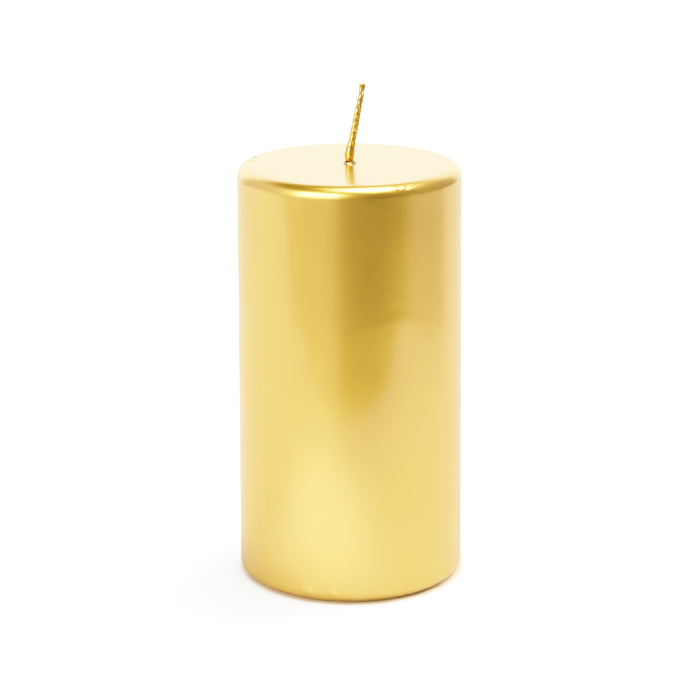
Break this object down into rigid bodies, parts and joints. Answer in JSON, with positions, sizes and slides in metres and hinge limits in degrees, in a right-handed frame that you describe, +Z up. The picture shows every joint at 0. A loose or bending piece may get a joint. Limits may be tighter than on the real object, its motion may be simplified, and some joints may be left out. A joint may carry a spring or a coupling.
{
  "type": "pillar candle",
  "caption": "Cylindrical pillar candle with rounded edges, a satin gold metallic lacquer coat and a short bendable braided wick standing in a small collar.",
  "frame": {"origin": "centre of the base, on the surface the candle stands on", "axes": "+Z up along the candle's axis; +X is the side the wick leans to; -Y faces a viewer who sees it lean to the right"},
  "size_m": [0.07, 0.07, 0.155],
  "materials": {
    "core_wax": "pressed paraffin wax, matt, slightly granular",
    "dip_wax": "hard dipped wax, smooth",
    "lacquer": "satin metallic gold lacquer with a fine flake grain",
    "cotton": "waxed braided cotton",
    "wick_coat": "glossy metallic gold lacquer over braid",
    "tinplate": "thin stamped tinplate"
  },
  "bodies": {
    "candle": {"wax_core": "core_wax", "overdip_shell": "dip_wax", "gold_lacquer": "lacquer", "wick_collar": "lacquer", "wick_stem": "cotton", "wick_sustainer": "tinplate"},
    "wick": {"wick_tip": "cotton", "wick_lacquer": "wick_coat"}
  },
  "joints": [
    {"name": "wick_lean", "type": "hinge", "parent": "candle", "child": "wick", "pos_m": [0, 0, 0.131], "axis": [0, 1, 0], "range_deg": [-55, 35]}
  ]
}
